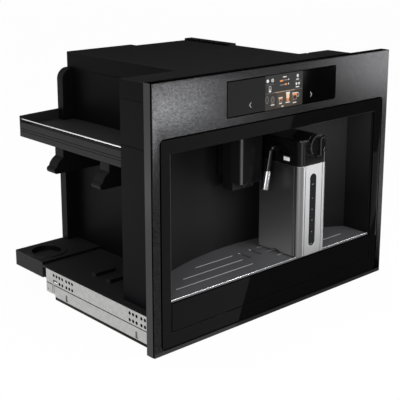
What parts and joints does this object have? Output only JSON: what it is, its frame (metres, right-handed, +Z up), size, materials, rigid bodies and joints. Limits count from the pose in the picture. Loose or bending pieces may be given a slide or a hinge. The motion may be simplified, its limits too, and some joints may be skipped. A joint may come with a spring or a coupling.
{
  "type": "built in coffee machine",
  "caption": "Built-in bean-to-cup coffee machine with a steel and glass front, cup alcove, milk carafe, water tank and storage bay, hung on telescopic rails so it draws out of its niche",
  "frame": {"origin": "on the plane where the front panel's folded back meets the cabinet, at the panel's middle in width and at its lower edge", "axes": "+X to the right seen from the front, +Y into the niche, +Z up"},
  "size_m": [0.595, 0.481, 0.455],
  "materials": {
    "panel_steel": "fine satin, darkened",
    "black_glass": "polished, back printed black",
    "screen": "lit display behind glass",
    "moulded_black": "satin",
    "alcove_lacquer": "satin",
    "cover_sheet": "satin black",
    "gloss_black": "polished",
    "zinc_steel": "zinc plated",
    "screw_steel": "zinc plated",
    "bright_chrome": "polished",
    "grille_coating": "satin, bright front edge",
    "carafe_steel": "vertical brushing",
    "milk_liner": "smooth",
    "sight_window": "clear",
    "food_tube": "clear grey",
    "white_button": "semi gloss",
    "smoke_tank": "clear, smoke tint",
    "chassis_steel": "galvanised",
    "boiler_metal": "cast",
    "pump_body": "moulded",
    "grinder_black": "moulded",
    "burr_steel": "ground",
    "circuit_board": "solder mask",
    "switch_black": "semi gloss"
  },
  "bodies": {
    "cabinet_rails": {"left_rail_fixed": "zinc_steel", "right_rail_fixed": "zinc_steel"},
    "rail_middles": {"left_rail_middle": "zinc_steel", "right_rail_middle": "zinc_steel"},
    "machine": {"left_rail_inner": "zinc_steel", "right_rail_inner": "zinc_steel", "rail_screws": "screw_steel", "base_tray": "moulded_black", "front_panel": "panel_steel", "panel_carrier": "moulded_black", "glass_frame": "black_glass", "display_glass": "black_glass", "display_module": "screen", "alcove_wall": "alcove_lacquer", "left_alcove_cheek": "alcove_lacquer", "right_alcove_cheek": "alcove_lacquer", "alcove_ceiling": "alcove_lacquer", "left_collar_lower": "cover_sheet", "left_collar_upper": "cover_sheet", "right_collar_lower": "cover_sheet", "right_collar_upper": "cover_sheet", "top_cover": "moulded_black", "left_side_panel": "moulded_black", "right_side_panel": "moulded_black", "rear_cover": "moulded_black", "rear_upright": "moulded_black", "accessory_shelf": "moulded_black", "shelf_rail": "bright_chrome", "rear_hook": "moulded_black", "front_hook": "moulded_black", "chassis_plate": "chassis_steel", "bean_hopper": "smoke_tank", "grinder_housing": "grinder_black", "brew_unit": "grinder_black", "boiler": "boiler_metal", "water_pump": "pump_body", "power_board": "circuit_board", "mains_inlet": "switch_black", "steam_connector": "bright_chrome", "spout_guide": "alcove_lacquer"},
    "bean_lid": {"bean_lid": "moulded_black"},
    "grinder_burr": {"grinder_burr": "burr_steel"},
    "brew_piston": {"brew_piston": "pump_body"},
    "main_switch": {"main_switch": "switch_black"},
    "water_tank": {"water_tank": "smoke_tank"},
    "tank_lid": {"tank_lid": "moulded_black"},
    "spout": {"spout_carriage": "moulded_black", "spout_cover": "gloss_black"},
    "drip_tray": {"drip_tray": "moulded_black", "tray_front_glass": "black_glass", "drip_grille": "grille_coating", "grounds_container": "moulded_black"},
    "carafe": {"carafe_casing": "carafe_steel", "carafe_liner": "milk_liner", "carafe_window": "sight_window"},
    "carafe_lid": {"carafe_lid": "gloss_black", "milk_intake_tube": "food_tube"},
    "froth_knob": {"froth_knob": "gloss_black"},
    "milk_pipe": {"milk_pipe": "gloss_black"},
    "release_button": {"release_button": "white_button"}
  },
  "joints": [
    {"name": "machine_pull_out", "type": "slide", "parent": "cabinet_rails", "child": "machine", "axis": [0, -1, 0], "range_m": [0, 0.25]},
    {"name": "rails_extend", "type": "slide", "parent": "cabinet_rails", "child": "rail_middles", "axis": [0, -1, 0], "range_m": [0, 0.125]},
    {"name": "spout_height", "type": "slide", "parent": "machine", "child": "spout", "axis": [0, 0, 1], "range_m": [-0.05, 0]},
    {"name": "drip_tray_pull", "type": "slide", "parent": "machine", "child": "drip_tray", "axis": [0, -1, 0], "range_m": [0, 0.2]},
    {"name": "carafe_pull", "type": "slide", "parent": "drip_tray", "child": "carafe", "axis": [0, -1, 0], "range_m": [0, 0.15]},
    {"name": "carafe_lid_lift", "type": "slide", "parent": "carafe", "child": "carafe_lid", "axis": [0, 0, 1], "range_m": [0, 0.012]},
    {"name": "froth_knob_turn", "type": "hinge", "parent": "carafe_lid", "child": "froth_knob", "pos_m": [0.084, -0.0223, 0.299], "axis": [0, -1, 0], "range_deg": [-60, 60]},
    {"name": "milk_pipe_swing", "type": "hinge", "parent": "carafe_lid", "child": "milk_pipe", "pos_m": [0.045, 0.038, 0.292], "axis": [-1, 0, 0], "range_deg": [0, 45]},
    {"name": "release_button_press", "type": "slide", "parent": "carafe_lid", "child": "release_button", "axis": [1, 0, 0], "range_m": [0, 0.002], "stiffness_N_per_m": 300},
    {"name": "water_tank_pull", "type": "slide", "parent": "machine", "child": "water_tank", "axis": [1, 0, 0], "range_m": [0, 0.09]},
    {"name": "tank_lid_hinge", "type": "hinge", "parent": "water_tank", "child": "tank_lid", "pos_m": [0.183, 0.175, 0.3333], "axis": [0, -1, 0], "range_deg": [0, 80]},
    {"name": "bean_lid_hinge", "type": "hinge", "parent": "machine", "child": "bean_lid", "pos_m": [0.1, 0.2429, 0.4435], "axis": [-1, 0, 0], "range_deg": [0, 75]},
    {"name": "main_switch_rock", "type": "hinge", "parent": "machine", "child": "main_switch", "pos_m": [0.14, 0.42075, 0.11], "axis": [1, 0, 0], "range_deg": [-8, 8]},
    {"name": "grinder_spin", "type": "hinge", "parent": "machine", "child": "grinder_burr", "pos_m": [0.1, 0.185, 0.26], "axis": [0, 0, 1], "continuous": true},
    {"name": "brew_piston_press", "type": "slide", "parent": "machine", "child": "brew_piston", "axis": [0, 0, 1], "range_m": [-0.018, 0.03]}
  ],
  "couplings": [
    {"joint": "rails_extend", "follows": "machine_pull_out", "ratio": 0.5}
  ]
}
